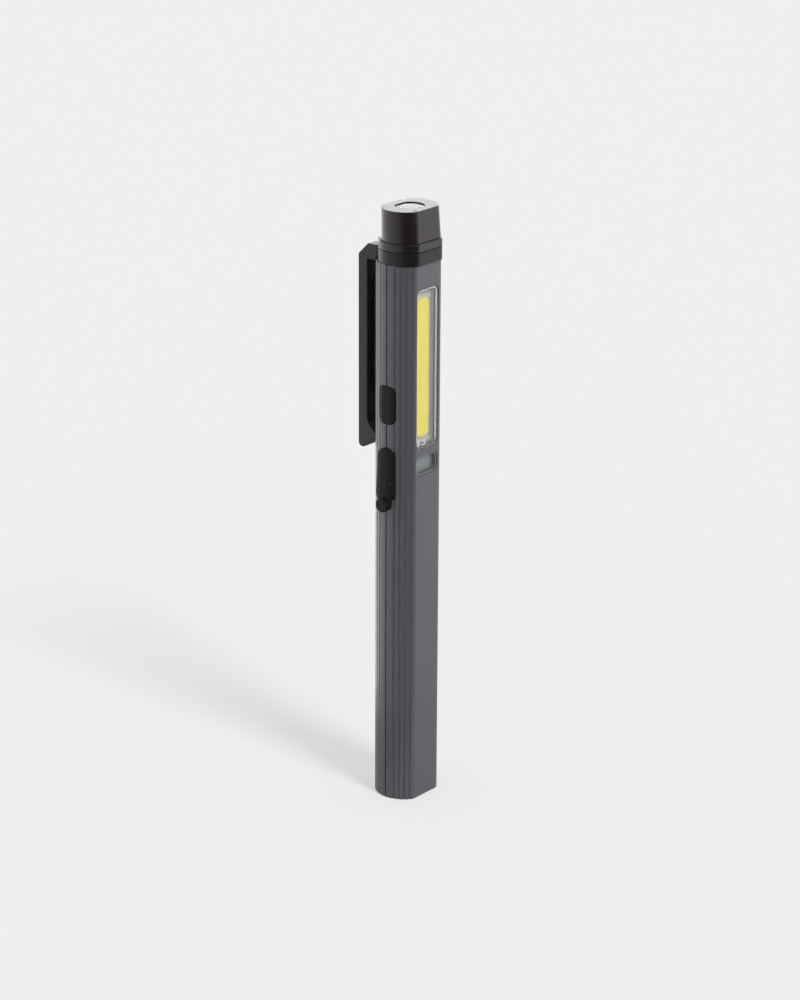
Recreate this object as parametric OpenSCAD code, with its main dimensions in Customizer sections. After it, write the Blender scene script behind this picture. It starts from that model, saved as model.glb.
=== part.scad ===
// Pocket work light, standing on its base.
// Millimetres. The origin is the middle of the base, +Z is up the body,
// -Y is the front with the light strip and +Y is the back with the clip.
// The power button and the charging port are in the seam on the -X side.

/* [Body] */
// Width across the two round sides
body_w = 17.6; // [17.2:0.2:19]
// Depth between the front and the back flat
body_d = 13.6; // [13.4:0.2:14.6]
// Height of the grey body, up to the black head
body_h = 150.7; // [148:0.1:158]
// Width of a flat before its corners are rounded
flat_w = 10; // [9.8:0.1:10.6]
// Radius between a flat and a round side
corner_r = 2.1; // [1.8:0.1:2.3]
// Wall of the two shells
wall = 1.3; // [1.2:0.05:1.4]
// Thickness of the closed base
base_t = 2; // [1.6:0.2:4]
// Thickness of the shoulder below the head
shoulder_t = 1.4; // [1:0.2:2]
// Width of the groove along the seam
seam_w = 0.3; // [0.2:0.05:0.5]

/* [Flutes] */
// Distance along the side from the seam to the first flute
flute_first = 2.44; // [2:0.1:2.6]
// Distance from one flute to the next
flute_pitch = 1.52; // [1.2:0.02:1.54]
// Flutes on each quarter of the body
flute_count = 4; // [1:1:4]
// Width of one flute
flute_w = 0.5; // [0.3:0.05:0.6]
// Depth of one flute
flute_depth = 0.2; // [0.08:0.02:0.24]

/* [Head] */
// Height of the collar that carries the clip
collar_h = 3.6; // [3.4:0.1:5]
// Height of the ring above the collar
ring_h = 2.3; // [1.6:0.1:4]
// Height of the cap above the ring
cap_h = 8.4; // [8.2:0.1:11]
// How far the collar and the ring stand in from each side of the body
ring_side = 0.2; // [0.1:0.05:0.4]
// How far the collar and the ring stand out in front of the body
ring_front = 0.53; // [0.4:0.01:0.6]
// How far the collar and the ring stand in from the body's back
ring_rear = 0.43; // [0.2:0.01:0.5]
// How far the cap's foot stands in from each side of the ring
cap_side = 0.25; // [0.1:0.05:0.3]
// How far the cap's foot stands in from the front of the ring
cap_front = 0.425; // [0.2:0.005:0.5]
// How far the cap's foot stands in from the back of the ring
cap_rear = 1.025; // [0.6:0.005:1.1]
// How far each side of the cap draws in up to its top
cap_side_taper = 0.25; // [0.1:0.05:0.4]
// How far the front of the cap draws in up to its top
cap_front_taper = 0.59; // [0.3:0.01:0.6]
// How far the back of the cap stands out up to its top
cap_rear_flare = 0.19; // [0.1:0.01:0.4]
// Height of the shadow line at the top of the collar and of the ring
shadow_h = 0.15; // [0.1:0.05:0.3]
// Depth of those shadow lines
shadow_depth = 0.35; // [0.2:0.05:0.5]
// How far the neck stands in from the body's outside
neck_inset = 2.4; // [2.3:0.05:2.6]
// Wall of the neck
neck_wall = 1; // [0.8:0.1:1.2]
// How far the neck reaches into the cap
neck_into_cap = 2.5; // [1.5:0.1:2.6]

/* [Torch] */
// Radius of the opening in the cap's top
torch_hole_r = 3.9; // [3.2:0.05:4]
// Thickness of the cap's top rim
cap_rim_t = 1.1; // [0.8:0.1:1.4]
// Wall ledge between the opening and the bore below it
torch_ledge = 0.5; // [0.4:0.05:0.7]
// How far the lens lies below the cap's top
torch_recess = 0.2; // [0.1:0.05:0.8]
// Thickness of the lens flange
lens_flange_t = 0.7; // [0.5:0.1:0.9]
// Thickness of the seal ring above the flange
gasket_t = 0.35; // [0.3:0.05:0.5]
// Thickness of the torch board
torch_board_t = 1; // [0.8:0.1:1.2]
// Side of the square light chip
torch_led_w = 2; // [1.6:0.1:2.4]
// Height of the square light chip
torch_led_t = 0.5; // [0.3:0.05:0.6]
// Wall of the spacer tube
spacer_wall = 0.6; // [0.5:0.05:0.7]

/* [Light strip] */
// From the body's side in to the windows
window_side = 4.6; // [4.5:0.05:4.8]
// Height of the long window
window_h = 43.4; // [40:0.1:46]
// Corner radius of both windows
window_r = 1.3; // [1:0.1:1.6]
// From the body's top down to the window
window_drop = 6.5; // [6:0.1:9]
// How far the window's face lies below the flat
window_recess = 0.1; // [0.05:0.05:0.3]
// From the window's side in to the yellow strip
phosphor_side = 1.75; // [1.7:0.05:2.4]
// Height of the yellow strip
phosphor_h = 37.9; // [34:0.1:38.5]
// Thickness of the yellow strip
phosphor_t = 0.5; // [0.3:0.05:0.6]
// From the window's foot up to the yellow strip
phosphor_rise = 2.1; // [1.8:0.1:3]
// From the window's side in to the strip's board
strip_board_side = 0.1; // [0:0.05:0.3]
// Thickness of the strip's board
cob_board_t = 1; // [0.8:0.1:1.4]
// Width of the frame's bar beside the window
frame_bar = 0.6; // [0.5:0.05:0.7]
// Thickness of the frame behind the window
frame_t = 0.5; // [0.45:0.05:0.7]
// How far the frame reaches down behind the bar below the window
frame_foot = 1.1; // [0.8:0.1:1.1]
// Width of the window's flange behind the wall
flange_w = 0.22; // [0.16:0.01:0.26]
// Thickness of the window's flange
flange_t = 0.4; // [0.3:0.05:0.5]

/* [Indicator] */
// Height of the bar between the two windows
window_bar = 2.2; // [2:0.1:3]
// Height of the small window
indicator_h = 5.3; // [4.6:0.1:6]
// Thickness of the small window's plate
indicator_t = 0.8; // [0.6:0.1:1]
// From the window's side in to the light guide behind the small window
guide_side = 0.1; // [0.05:0.05:0.4]
// Gap between the light guide and the charging socket
guide_gap = 0.95; // [0.6:0.05:1.2]
// Number of indicator lights
indicator_count = 4; // [2:1:4]

/* [Power button] */
// Width of the button
button_w = 5.7; // [5:0.1:6]
// Height of the button
button_h = 10.5; // [9:0.1:12]
// Corner radius of the button
button_r = 1.9; // [1.4:0.1:2.2]
// From the body's top down to the button's middle
button_drop = 37.85; // [36:0.05:39]
// How far the button stands proud of the side
button_proud = 0.3; // [0.2:0.05:0.6]
// How far the button can be pressed
button_travel = 0.4; // [0.3:0.05:0.5]
// Thickness of the button's skin
button_t = 0.7; // [0.6:0.05:0.8]
// How far the button's flange reaches past its opening
button_flange = 0.8; // [0.5:0.1:0.9]
// Gap between the button and its opening
button_gap = 0.15; // [0.1:0.01:0.2]

/* [Charging port] */
// Width of the port cover
cover_w = 5.6; // [5.2:0.1:6]
// Height of the port cover
cover_h = 15; // [13.6:0.1:15.4]
// Corner radius of the port cover
cover_r = 2.5; // [2:0.1:2.6]
// From the body's top down to the cover's middle
port_drop = 57.2; // [56.6:0.1:59]
// How far the cover stands proud at its top
cover_proud_top = 0.85; // [0.25:0.05:1]
// How far the cover stands proud at its bottom
cover_proud_foot = 1.6; // [1.1:0.05:1.7]
// Depth of the recess that the cover lies in
recess_depth = 0.95; // [0.8:0.05:1]
// Radius of the round pull tab
tab_r = 1.95; // [1.6:0.05:2.4]
// How far the tab stands proud of the body's side
tab_proud = 2.25; // [1.7:0.05:2.4]
// From the cover's foot down to the tab's middle
tab_drop = 0.5; // [0.4:0.05:1.4]
// Height of the socket's shell
usb_w = 8.94; // [8.6:0.02:9.2]
// Thickness of the socket's shell
usb_t = 3.26; // [3:0.02:3.4]
// Length of the socket
usb_l = 7.35; // [6.9:0.05:7.6]
// Sheet thickness of the socket's shell
usb_sheet = 0.3; // [0.2:0.05:0.4]

/* [Clip] */
// Width of the clip
clip_w = 9.5; // [8.6:0.1:10.4]
// Thickness of the clip's arm
arm_t = 3.1; // [2.8:0.1:3.6]
// Gap between the body's back and the arm
clip_gap = 3.2; // [3:0.1:4]
// Length of the clip
clip_l = 56.3; // [52:0.1:62]
// Height of the bridge between the collar and the arm
bridge_h = 4.2; // [4:0.1:5]
// How far the clip's top lies below the collar's top
clip_top_drop = 0.2; // [0.1:0.05:0.4]
// Chamfer of the clip's shoulder
clip_chamfer = 3.2; // [2.6:0.1:3.6]
// From the clip's tip up to the toe that touches the body
toe_h = 4.6; // [3.8:0.1:5.4]
// Height of the slope from the toe up to the arm
toe_rise = 3.7; // [3:0.1:4.6]
// Radius of the clip's round tip
tip_r = 1.3; // [1:0.1:1.4]
// Gap between the toe and the body
toe_gap = 0.25; // [0.2:0.05:0.4]
// Radius of the pivot pin
pin_r = 0.7; // [0.6:0.05:0.8]
// Length of the pivot pin
pin_l = 6.6; // [6:0.1:7.4]
// Width of the collar's lug
lug_w = 3; // [2.4:0.1:3.4]
// Radius of the collar's lug
lug_r = 1.3; // [1.25:0.01:1.35]

/* [Magnet] */
// Width of the magnet's cover
magnet_w = 4.6; // [4:0.1:5.4]
// Height of the magnet's cover
magnet_h = 31.6; // [28:0.1:34]
// From the clip's top down to the magnet's cover
magnet_drop = 10.2; // [9:0.1:11]
// Thickness of the magnet
magnet_t = 1.6; // [1.2:0.1:1.7]
// How far the cover stands proud of the arm
magnet_proud = 0.6; // [0.4:0.05:0.8]
// How deep the cover sits in the arm
magnet_seat = 0.3; // [0.2:0.05:0.4]

/* [Battery and boards] */
// Gap between the cell and the front and back walls
cell_gap = 0.4; // [0.3:0.05:0.6]
// Room for a lead between the cell and the side wall
cell_side_room = 2.4; // [2.1:0.05:2.6]
// Length of the cell
cell_l = 44.5; // [40:0.5:60]
// Gap between the main board and the side walls
board_side_gap = 0.36; // [0.3:0.02:0.6]
// Thickness of the main board
board_t = 1; // [0.8:0.1:1.2]
// From the body's top down to the main board
board_drop = 3.2; // [2.4:0.1:3.6]
// How far the main board reaches below the socket and the small window
board_tail = 5.03; // [4.8:0.01:8]
// Radius of a lead
lead_r = 0.45; // [0.35:0.05:0.5]
// Thickness of the foam pad under the cell
pad_t = 1.5; // [1:0.1:3]
// Thickness of a rib in the shells
rib_t = 1.2; // [1:0.1:2]

/* [Hidden] */
$fn = 48;

// Clearances and overruns that several pieces share
fit = 0.05;
press = 0.01;
run = 0.3;
cut = 1;
slice_t = 0.01;
inner_corner_r = 0.5;
arc_steps = 3;
corner_steps = 5;
plain_steps = 18;

// Colours
grey = [0.40, 0.41, 0.42];
black = [0.13, 0.13, 0.13];
rubber = [0.17, 0.17, 0.15];
clear = [0.85, 0.9, 0.92];
board_green = [0.1, 0.35, 0.2];
metal = [0.75, 0.75, 0.76];
yellow = [0.9, 0.84, 0.35];
white = [0.92, 0.92, 0.9];

// Points of an arc, from angle a0 to a1 in n steps, first and last point included or not
function arc(x, y, r, a0, a1, n, first = 0, last = 0) =
    [for (i = [first : n - last]) let (a = a0 + (a1 - a0) * i / n) [x + r * cos(a), y + r * sin(a)]];

// Radius of the side arc of a section of width w and depth d whose flats are f wide
function side_radius(w, d, f) = (pow((w - f) / 2, 2) + pow(d / 2, 2)) / (w - f);

// A round side from angle -a to a. Each notch is [angle, half its angle, depth].
function side_points(x, r, a, notches) =
    len(notches) == 0 ? arc(x, 0, r, -a, a, plain_steps) :
    [for (i = [0 : len(notches)])
        let (from = i == 0 ? -a : notches[i - 1][0] + notches[i - 1][1],
             to = i == len(notches) ? a : notches[i][0] - notches[i][1])
        each concat(arc(x, 0, r, from, to, arc_steps),
            i == len(notches) ? [] : arc(x, 0, r - notches[i][2], notches[i][0], notches[i][0], 1, 1))];

// A section with two flats and two round sides. The sides are arcs of radius r about (+-x, 0),
// the flats lie at +-hd and the four corners have radius c.
function outline(x, r, hd, c, notches = []) =
    let (yc = hd - c, xc = x + sqrt(pow(r - c, 2) - pow(yc, 2)), a = atan2(yc, xc - x),
         right = concat(arc(xc, -yc, c, -90, -a, corner_steps, 0, 1), side_points(x, r, a, notches),
                        arc(xc, yc, c, a, 90, corner_steps, 1, 0)))
    concat(right, [for (p = right) -p]);

// The body's section
body_r = side_radius(body_w, body_d, flat_w);
body_x = body_w / 2 - body_r;
to_deg = 180 / PI;
function notch(s, w, depth) = [s / body_r * to_deg, w / 2 / body_r * to_deg, depth];
side_reach = body_r * asin((body_d / 2 - corner_r) / (body_r - corner_r)) / to_deg;
flute_places = [
    for (i = [0 : flute_count - 1])
        let (s = flute_first + i * flute_pitch)
            if (s + flute_w / 2 < side_reach) s];
body_notches = concat(
    [for (i = [len(flute_places) - 1 : -1 : 0]) notch(-flute_places[i], flute_w, flute_depth)],
    [notch(0, seam_w, seam_w / 2)],
    [for (s = flute_places) notch(s, flute_w, flute_depth)]);
function body_inset(t) = outline(body_x, body_r - t, body_d / 2 - t, max(corner_r - t, inner_corner_r));

// Heights
collar_z = body_h;
ring_z = collar_z + collar_h;
cap_z = ring_z + ring_h;
top_z = cap_z + cap_h;
neck_top = cap_z + neck_into_cap;
window_top = body_h - window_drop;
window_foot = window_top - window_h;
indicator_top = window_foot - window_bar;
indicator_foot = indicator_top - indicator_h;
button_z = body_h - button_drop;
port_z = body_h - port_drop;

// A flat rounded rectangle
module rounded(w, h, r) {
    square([w - 2 * r, h], center = true);
    square([w, h - 2 * r], center = true);
    for (x = [-1, 1], y = [-1, 1])
        translate([x * (w / 2 - r), y * (h / 2 - r)]) circle(r);
}

// A prism of that shape along Y, w wide in X and h high in Z
module prism_y(w, h, r, y0, y1, z) {
    translate([0, y1, z]) rotate([90, 0, 0]) linear_extrude(y1 - y0) rounded(w, h, r);
}

// A prism of that shape along X, w wide in Y and h high in Z
module prism_x(w, h, r, x0, x1, z) {
    translate([x0, 0, z]) rotate([90, 0, 90]) linear_extrude(x1 - x0) rounded(w, h, r);
}

// A block given by its low and high corner
module block(low, high) {
    translate(low) cube(high - low);
}

// A rod along Y and a rod along X
module rod_y(r, y0, y1, x, z) {
    translate([x, y1, z]) rotate([90, 0, 0]) cylinder(r = r, h = y1 - y0);
}
module rod_x(r, x0, x1, y, z) {
    translate([x0, y, z]) rotate([0, 90, 0]) cylinder(r = r, h = x1 - x0);
}

// Sizes of the head's pieces, and how far each sits towards the front
ring_w = body_w - 2 * ring_side;
ring_d = body_d + ring_front - ring_rear;
ring_shift = (ring_front + ring_rear) / 2;
cap_base_w = ring_w - 2 * cap_side;
cap_base_d = ring_d - cap_front - cap_rear;
cap_base_shift = ring_shift + (cap_rear - cap_front) / 2;
cap_top_w = cap_base_w - 2 * cap_side_taper;
cap_top_d = cap_base_d - cap_front_taper + cap_rear_flare;
cap_top_shift = cap_base_shift - (cap_front_taper + cap_rear_flare) / 2;

// The head's section: width w, depth d, moved towards the front by s
module head_section(w, d, s) {
    f = flat_w - (body_w - w);
    r = side_radius(w, d, f);
    translate([0, -s]) polygon(outline(w / 2 - r, r, d / 2, corner_r));
}
module neck_section(t) {
    polygon(body_inset(neck_inset + t));
}

// The main board, in the middle of the body
board_front = usb_t / 2;
board_back = board_front + board_t;
board_w = 2 * (body_x + sqrt(pow(body_r - wall, 2) - pow(board_back, 2)) - board_side_gap);
board_top = body_h - board_drop;
board_foot = min(indicator_foot, port_z - usb_w / 2) - board_tail;

// The cell, below the main board
cell_r = min(body_w / 2 - wall - cell_side_room, body_d / 2 - wall - cell_gap);
cell_room = 5.5;
cell_top = board_foot - cell_room;
cell_foot = cell_top - cell_l;
cell_stop = cell_foot - pad_t;
cell_hole_r = cell_r + 0.5 * run;
wire_hole_r = 3.2;
tab_t = 0.2;
tab_half_w = 1.5;

// Leads of the cell: one rises beside it from its foot, one from its top, to joints on the board
joint_w = 1.8;
joint_t = 0.9;
joint_h = 1.6;
joint_rise = 1;
joint_foot = board_foot + joint_rise;
lead_x = cell_r + lead_r + 2 * run;
lead_y = board_front - joint_t / 2;

// Screws that hold the main board to two bosses of the rear shell
screw_r = 0.75;
screw_head_r = 1.35;
screw_head_t = 0.8;
screw_l = 2.4;
boss_r = 1.7;
screw_foot_x = 3;
screw_foot_rise = joint_rise + joint_h + screw_head_r + run;
screw_top_drop = 5;
screw_places = [[screw_foot_x, board_foot + screw_foot_rise], [0, board_top - screw_top_drop]];

// Cuts for the windows and what lies behind them
window_w = body_w - 2 * window_side;
phosphor_w = window_w - 2 * phosphor_side;
cob_board_w = window_w - 2 * strip_board_side;
front_y = -body_d / 2;
wall_y = front_y + wall;
window_z = (window_top + window_foot) / 2;
indicator_z = (indicator_top + indicator_foot) / 2;
flange_y = wall_y + fit;
frame_y = flange_y + flange_t;
strip_y = frame_y + frame_t;
strip_foot = indicator_top + run + flange_w + fit;
strip_top = window_top + 2 * flange_w;

// The button
button_in = wall + fit + fit;
button_open_w = button_w + 2 * button_gap;
button_open_h = button_h + 2 * button_gap;
side_x = -body_w / 2;
plunger_tip = side_x + button_in + button_t + 2 * button_travel;

// The port, its recess and its cover
recess_x = side_x + recess_depth;
cover_gap = 0.15;
cover_top = port_z + cover_h / 2;
cover_foot = port_z - cover_h / 2;
cover_in = recess_x - cover_gap;
hinge_drop = 0.4;
hinge_z = cover_top - hinge_drop;
port_mouth = side_x + wall + 2 * fit;
port_hole_w = usb_w + 2 * fit;
port_hole_t = usb_t + 2 * fit;
anchor_slot_w = 2.4;
anchor_slot_h = 0.9;

// The lip of the rear shell that steps into the front shell
lip_depth = 0.8;
lip_inset = wall / 2;

module battery_ribs() {
    end_ribs = [cell_stop - rib_t, cell_top + tab_t + run];
    side_ribs = [cell_foot + cell_l / 4, cell_foot + cell_l * 3 / 4];
    for (z = concat(end_ribs, side_ribs))
        translate([0, 0, z]) linear_extrude(rib_t) polygon(body_inset(wall / 2));
}

// Room inside the body, below the shoulder
module cavity() {
    difference() {
        translate([0, 0, base_t]) linear_extrude(body_h - shoulder_t - base_t) polygon(body_inset(wall));
        difference() {
            battery_ribs();
            translate([0, 0, cell_stop]) cylinder(r = cell_hole_r, h = cell_top - cell_stop + tab_t + run);
            translate([0, 0, base_t]) cylinder(r = wire_hole_r, h = board_foot - base_t + cut);
            translate([lead_x, lead_y, base_t]) cylinder(r = lead_r + run, h = board_foot - base_t + cut);
        }
    }
}

// The whole grey body before it is split
module body_block() {
    difference() {
        union() {
            linear_extrude(body_h) polygon(outline(body_x, body_r, body_d / 2, corner_r, body_notches));
            translate([0, 0, body_h - cut]) linear_extrude(neck_top - body_h + cut) neck_section(0);
        }
        cavity();
        translate([0, 0, body_h - shoulder_t - cut])
            linear_extrude(neck_top - body_h + shoulder_t + 2 * cut) neck_section(neck_wall);
        prism_x(button_open_w, button_open_h, button_r + button_gap,
            side_x - cut, side_x + 2 * wall, button_z);
        prism_x(cover_w + 2 * cover_gap, cover_h + 2 * cover_gap, cover_r + cover_gap,
            side_x - cut, recess_x, port_z);
        block([side_x, -port_hole_t / 2, port_z - port_hole_w / 2],
            [0, port_hole_t / 2, port_z + port_hole_w / 2]);
        block([side_x, -anchor_slot_w / 2, hinge_z - anchor_slot_h],
            [side_x + 2 * wall, anchor_slot_w / 2, hinge_z]);
    }
}

module front_half(y) {
    block([-body_w, -body_d, -cut], [body_w, y, top_z]);
}

module lip(extra) {
    difference() {
        translate([0, 0, base_t]) linear_extrude(body_h - shoulder_t - base_t)
            polygon(body_inset(lip_inset - extra));
        front_half(-lip_depth - extra);
    }
}

module front_shell() {
    color(grey) difference() {
        intersection() {
            body_block();
            front_half(0);
        }
        lip(fit);
        prism_y(window_w, window_h, window_r, front_y - cut, wall_y + cut, window_z);
        prism_y(window_w, indicator_h, window_r, front_y - cut, wall_y + cut, indicator_z);
    }
}

module rear_shell() {
    color(grey) union() {
        difference() {
            body_block();
            front_half(0);
        }
        intersection() {
            body_block();
            lip(0);
            front_half(0);
        }
        screw_bosses();
    }
}

module screw_bosses() {
    for (p = screw_places)
        difference() {
            rod_y(boss_r, board_back, body_d / 2 - wall / 2, p[0], p[1]);
            rod_y(screw_r, board_back - cut, board_back + screw_l, p[0], p[1]);
        }
}

// The pivot of the clip, behind the collar
ring_back = ring_d / 2 - ring_shift;
clip_top = ring_z - clip_top_drop;
bridge_foot = clip_top - bridge_h;
pivot_y = ring_back + lug_r + fit + run;
pivot_z = clip_top - bridge_h / 2;

// A ring of the head with a shadow line at its top
module head_band(z, h) {
    translate([0, 0, z]) difference() {
        union() {
            linear_extrude(h - shadow_h) head_section(ring_w, ring_d, ring_shift);
            linear_extrude(h)
                head_section(ring_w - 2 * shadow_depth, ring_d - 2 * shadow_depth, ring_shift);
        }
        translate([0, 0, -cut]) linear_extrude(h + 2 * cut) neck_section(-2 * fit);
    }
}

module clip_collar() {
    color(black) difference() {
        union() {
            head_band(collar_z, collar_h);
            rod_x(lug_r, -lug_w / 2, lug_w / 2, pivot_y, pivot_z);
            block([-lug_w / 2, ring_back - shadow_depth, pivot_z - lug_r],
                [lug_w / 2, pivot_y, pivot_z + lug_r]);
        }
        rod_x(pin_r + fit, -lug_w, lug_w, pivot_y, pivot_z);
    }
}

module head_ring() {
    color(black) head_band(ring_z, ring_h);
}

// Heights inside the cap
torch_y = -cap_top_shift;
lens_face = top_z - torch_recess;
ledge_z = top_z - cap_rim_t;
flange_top = ledge_z - gasket_t;
lens_foot = flange_top - lens_flange_t;
torch_bore_r = torch_hole_r + torch_ledge;
board_z = neck_top + fit;

module head_cap() {
    color(black) difference() {
        hull() {
            translate([0, 0, cap_z]) linear_extrude(slice_t)
                head_section(cap_base_w, cap_base_d, cap_base_shift, $fn = 32);
            translate([0, 0, top_z - slice_t]) linear_extrude(slice_t)
                head_section(cap_top_w, cap_top_d, cap_top_shift, $fn = 32);
        }
        translate([0, 0, cap_z - cut]) linear_extrude(neck_into_cap + fit + cut) neck_section(-2 * fit);
        translate([0, torch_y, cap_z]) cylinder(r = torch_bore_r, h = ledge_z - cap_z);
        translate([0, torch_y, cap_z]) cylinder(r = torch_hole_r, h = cap_h + cut);
    }
}

// Shape of the torch light's chip and of the lens cone over it
led_dome_r = torch_led_w * 0.4;
cone_foot_r = torch_led_w * 0.75;
cone_top_r = torch_hole_r - spacer_wall;

module torch_lens() {
    color(clear) translate([0, torch_y, 0]) difference() {
        union() {
            translate([0, 0, lens_foot]) cylinder(r = torch_bore_r - fit, h = lens_flange_t);
            translate([0, 0, lens_foot]) cylinder(r = torch_hole_r - fit, h = lens_face - lens_foot);
            translate([0, 0, board_z + torch_board_t + fit])
                cylinder(r1 = cone_foot_r, r2 = cone_top_r, h = lens_foot - board_z - torch_board_t - fit);
        }
        translate([0, 0, board_z])
            cylinder(r = torch_led_w / 2, h = torch_board_t + torch_led_t + led_dome_r + fit);
    }
}

module lens_gasket() {
    color(rubber) translate([0, torch_y, flange_top]) difference() {
        cylinder(r = torch_bore_r - fit, h = gasket_t);
        translate([0, 0, -cut]) cylinder(r = torch_hole_r + fit, h = gasket_t + 2 * cut);
    }
}

module torch_spacer() {
    h = lens_foot - board_z - torch_board_t;
    color(white) translate([0, torch_y, board_z + torch_board_t]) difference() {
        cylinder(r = torch_bore_r - fit, h = h);
        translate([0, 0, -cut]) cylinder(r = torch_bore_r - fit - spacer_wall, h = h + 2 * cut);
    }
}

module torch_board() {
    color(white) translate([0, torch_y, board_z]) cylinder(r = torch_bore_r - fit, h = torch_board_t);
}

module torch_led() {
    color(yellow) translate([0, torch_y, board_z + torch_board_t]) {
        translate([0, 0, torch_led_t / 2])
            cube([torch_led_w * 0.6, torch_led_w * 0.6, torch_led_t], center = true);
        cylinder(r = led_dome_r, h = torch_led_t + led_dome_r / 2);
    }
}

// The leads rise from the main board's top through the neck
torch_lead_x = 1.6;
torch_lead_y = board_front + board_t / 2;
module torch_leads() {
    color("firebrick") for (x = [-1, 1])
        translate([x * torch_lead_x, torch_lead_y, board_top])
            cylinder(r = lead_r, h = board_z - board_top);
}

// A plate of the window's shape, widened by the flange
module light_window() {
    color(clear) union() {
        prism_y(window_w - 2 * fit, window_h - 2 * fit, window_r - fit,
            front_y + window_recess, frame_y, window_z);
        prism_y(window_w + 2 * flange_w, window_h + 2 * flange_w, window_r + flange_w,
            flange_y, frame_y, window_z);
    }
}

module window_frame() {
    color(white) difference() {
        prism_y(window_w + 2 * flange_w, window_h + frame_foot + 2 * flange_w, window_r + flange_w,
            frame_y, strip_y, window_z - frame_foot / 2);
        prism_y(window_w - 2 * frame_bar, window_h + frame_foot, window_r - frame_bar / 2,
            frame_y - cut, strip_y + cut, window_z - frame_foot / 2);
    }
}

module strip_board() {
    color(white) block([-cob_board_w / 2, strip_y, strip_foot],
        [cob_board_w / 2, strip_y + cob_board_t, strip_top]);
}

module phosphor_strip() {
    color(yellow) prism_y(phosphor_w, phosphor_h, phosphor_w / 8, strip_y - phosphor_t, strip_y,
        window_foot + phosphor_rise + phosphor_h / 2);
}

// Two solder joints below the strip, level with the window's foot
strip_pad_t = 0.3;
strip_pad_r_share = 0.125;
strip_pad_x_shares = [0.06, 0.83];
frame_half_w = window_w / 2 - frame_bar;
strip_pad_r = strip_pad_r_share * frame_half_w;
strip_pad_z = window_foot - frame_foot / 2;
module strip_pads() {
    color(metal) for (share = strip_pad_x_shares)
        rod_y(strip_pad_r, strip_y - strip_pad_t, strip_y, share * frame_half_w, strip_pad_z);
}

// The small window's plate, with a light guide that reaches back to the indicator lights
guide_x = port_mouth + usb_l + guide_gap;
guide_w = window_w / 2 - guide_side - guide_x;
guide_foot = indicator_foot + 0.5 * window_r;
guide_top = indicator_top - 0.5 * window_r;
light_t = 0.5;
light_w_share = 0.625;
light_h = 1;
module indicator_window() {
    color([0.55, 0.6, 0.58]) union() {
        prism_y(window_w + 2 * flange_w, indicator_h + 2 * flange_w, window_r + flange_w,
            flange_y, flange_y + indicator_t, indicator_z);
        block([guide_x, flange_y, guide_foot], [guide_x + guide_w, board_front - light_t - fit, guide_top]);
    }
}

module indicator_lights() {
    color(white) for (i = [0 : indicator_count - 1])
        translate([guide_x + guide_w * (i + 0.5) / indicator_count, board_front - light_t / 2, indicator_z])
            cube([light_w_share * guide_w / indicator_count, light_t, light_h], center = true);
}

// The main board has a notch beside the button's flange, which moves inwards there
notch_half_h = button_h / 2 + button_flange + run;
notch_x = button_travel + run - body_x - sqrt(pow(body_r - button_in - button_t, 2) - pow(board_back, 2));
module main_board() {
    color(board_green) difference() {
        block([-board_w / 2, board_front, board_foot], [board_w / 2, board_back, board_top]);
        for (p = screw_places) rod_y(screw_r + fit, board_front - cut, board_back + cut, p[0], p[1]);
        block([-board_w, board_front - cut, button_z - notch_half_h],
            [notch_x, board_back + cut, button_z + notch_half_h]);
    }
}

// Chips on the board's back, as shares of the board: [place across, place down, width, height]
chip_shares = [[0, 0.22, 0.38, 0.063], [-0.24, 0.35, 0.23, 0.047], [0.2, 0.38, 0.18, 0.07],
    [0, 0.63, 0.3, 0.079], [-0.19, 0.82, 0.26, 0.038]];
chip_t = 1.1;
module board_chips() {
    h = board_top - board_foot;
    color([0.1, 0.1, 0.1]) for (c = chip_shares)
        translate([c[0] * board_w, board_back + chip_t / 2, board_top - c[1] * h])
            cube([c[2] * board_w, chip_t, c[3] * h], center = true);
}

module board_screws() {
    color(metal) for (p = screw_places) {
        rod_y(screw_head_r, board_front - screw_head_t, board_front, p[0], p[1]);
        rod_y(screw_r - press, board_front - screw_head_t / 2, board_back + screw_l - run, p[0], p[1]);
    }
}

// Pins between the strip's board and the main board
header_r = 0.35;
header_in = 1.3;
header_x = cob_board_w / 2 - header_in;
header_top_drop = 10;
header_foot_drop = 41;
module board_pins() {
    color(metal) for (x = [-1, 1], d = [header_top_drop, header_foot_drop])
        rod_y(header_r, strip_y + cob_board_t, board_front, x * header_x, board_top - d);
}

// The switch under the button
plunger_out = 0.9;
switch_x = plunger_tip + plunger_out;
switch_l = 3.4;
switch_half_h = 3;
plunger_half_w = 0.8;
plunger_half_h = 1.4;
module switch_body() {
    color([0.2, 0.2, 0.22]) difference() {
        block([switch_x, -board_front, button_z - switch_half_h],
            [switch_x + switch_l, board_front, button_z + switch_half_h]);
        block([switch_x - cut, -plunger_half_w - fit, button_z - plunger_half_h - fit],
            [switch_x + 2 * button_travel + run, plunger_half_w + fit, button_z + plunger_half_h + fit]);
    }
}

module switch_plunger() {
    color(white) block([plunger_tip, -plunger_half_w, button_z - plunger_half_h],
        [switch_x + button_travel, plunger_half_w, button_z + plunger_half_h]);
}

// The button is a curved skin with a curved flange inside the wall and a stem to the plunger
button_stem_r = 1.1;
button_end_gap = 0.1;
module button_band(outer, inner) {
    translate([0, 0, button_z - button_h]) linear_extrude(2 * button_h) difference() {
        polygon(body_inset(outer));
        polygon(body_inset(inner));
    }
}
module power_button() {
    color(rubber) union() {
        intersection() {
            button_band(-button_proud, button_in + button_t);
            prism_x(button_w, button_h, button_r, side_x - cut, 0, button_z);
        }
        intersection() {
            button_band(button_in, button_in + button_t);
            prism_x(button_w + 2 * button_flange, button_h + 2 * button_flange, button_r,
                side_x - cut, 0, button_z);
        }
        rod_x(button_stem_r, side_x + wall, plunger_tip - button_end_gap, 0, button_z);
    }
}

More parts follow.
